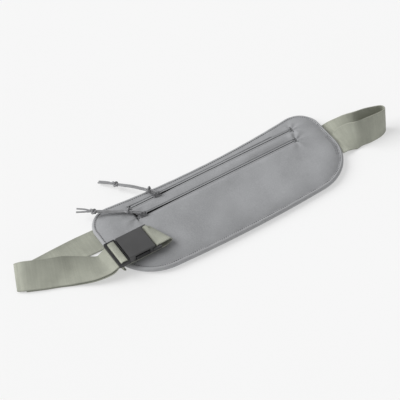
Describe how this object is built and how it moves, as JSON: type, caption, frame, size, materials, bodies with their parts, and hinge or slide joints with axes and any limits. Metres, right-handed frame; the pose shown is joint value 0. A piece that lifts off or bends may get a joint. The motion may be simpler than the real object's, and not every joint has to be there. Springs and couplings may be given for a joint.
{
  "type": "money belt",
  "caption": "Flat zipped waist pouch worn under clothing, with a front and a main pocket, cord zip pulls, an elastic webbing strap and a side-release buckle.",
  "frame": {"origin": "middle of the pouch's flat back face", "axes": "+X along the pouch, towards the end where the long strap is sewn in; +Y towards the zips; +Z out of the front face"},
  "size_m": [0.469, 0.1621, 0.0332],
  "materials": {
    "face_fabric": "matte",
    "back_fabric": "matte",
    "lining_fabric": "matte",
    "binding": "matte",
    "thread": "matte",
    "zip_tape": "matte",
    "zip_coil": "satin",
    "slider": "satin",
    "cord": "matte",
    "webbing": "matte",
    "buckle": "satin"
  },
  "bodies": {
    "root": {"back_panel": "back_fabric", "bar_tacks": "thread", "binding_stitch": "thread", "buckle_female": "buckle", "buckle_tab": "webbing", "divider_panel": "lining_fabric", "edge_binding": "binding", "front_coil_lower": "zip_coil", "front_coil_upper": "zip_coil", "front_panel": "face_fabric", "front_tape_lower": "zip_tape", "front_tape_upper": "zip_tape", "front_zip_stops": "slider", "main_coil_lower": "zip_coil", "main_coil_upper": "zip_coil", "main_tape_lower": "zip_tape", "main_tape_upper": "zip_tape", "main_zip_stops": "slider", "strap_stitch": "thread", "tab_stitch": "thread", "waist_strap": "webbing"},
    "main_slider": {"main_slider": "slider"},
    "main_loop": {"main_cord_loop": "cord"},
    "main_pull": {"main_cord": "cord"},
    "front_slider": {"front_slider": "slider"},
    "front_loop": {"front_cord_loop": "cord"},
    "front_pull": {"front_cord": "cord"},
    "buckle_male": {"buckle_male": "buckle"},
    "prong_upper": {"prong_upper": "buckle"},
    "prong_lower": {"prong_lower": "buckle"}
  },
  "joints": [
    {"name": "main_zip_slide", "type": "slide", "parent": "root", "child": "main_slider", "axis": [1, 0, 0], "range_m": [-0.028, 0.173]},
    {"name": "main_pull_swing", "type": "hinge", "parent": "main_slider", "child": "main_loop", "pos_m": [-0.0655, 0.0355, 0.01225], "axis": [0, 0, 1], "range_deg": [-80, 10], "deforming": ["main_cord_loop"]},
    {"name": "main_pull_lift", "type": "hinge", "parent": "main_loop", "child": "main_pull", "pos_m": [-0.0707, 0.0432, 0.013], "axis": [-0.8366, -0.5478, 0], "range_deg": [-90, 0], "deforming": ["main_cord"]},
    {"name": "front_zip_slide", "type": "slide", "parent": "root", "child": "front_slider", "axis": [1, 0, 0], "range_m": [0, 0.196]},
    {"name": "front_pull_swing", "type": "hinge", "parent": "front_slider", "child": "front_loop", "pos_m": [-0.0933, 0.0185, 0.01225], "axis": [0, 0, 1], "range_deg": [-60, 20], "deforming": ["front_cord_loop"]},
    {"name": "front_pull_lift", "type": "hinge", "parent": "front_loop", "child": "front_pull", "pos_m": [-0.1056, 0.0285, 0.013], "axis": [-0.5632, -0.8263, 0], "range_deg": [-90, 0], "deforming": ["front_cord"]},
    {"name": "buckle_release", "type": "slide", "parent": "root", "child": "buckle_male", "axis": [-1, 0, 0], "range_m": [0, 0.035], "deforming": ["waist_strap"]},
    {"name": "prong_upper_flex", "type": "hinge", "parent": "buckle_male", "child": "prong_upper", "pos_m": [-0.14025, -0.007, 0.0153], "axis": [0, 0, -1], "range_deg": [0, 7], "stiffness_Nm_per_rad": 0.2, "deforming": ["prong_upper"]},
    {"name": "prong_lower_flex", "type": "hinge", "parent": "buckle_male", "child": "prong_lower", "pos_m": [-0.14025, -0.033, 0.0153], "axis": [0, 0, 1], "range_deg": [0, 7], "stiffness_Nm_per_rad": 0.2, "deforming": ["prong_lower"]}
  ],
  "couplings": [
    {"joint": "prong_lower_flex", "follows": "prong_upper_flex", "ratio": 1}
  ]
}
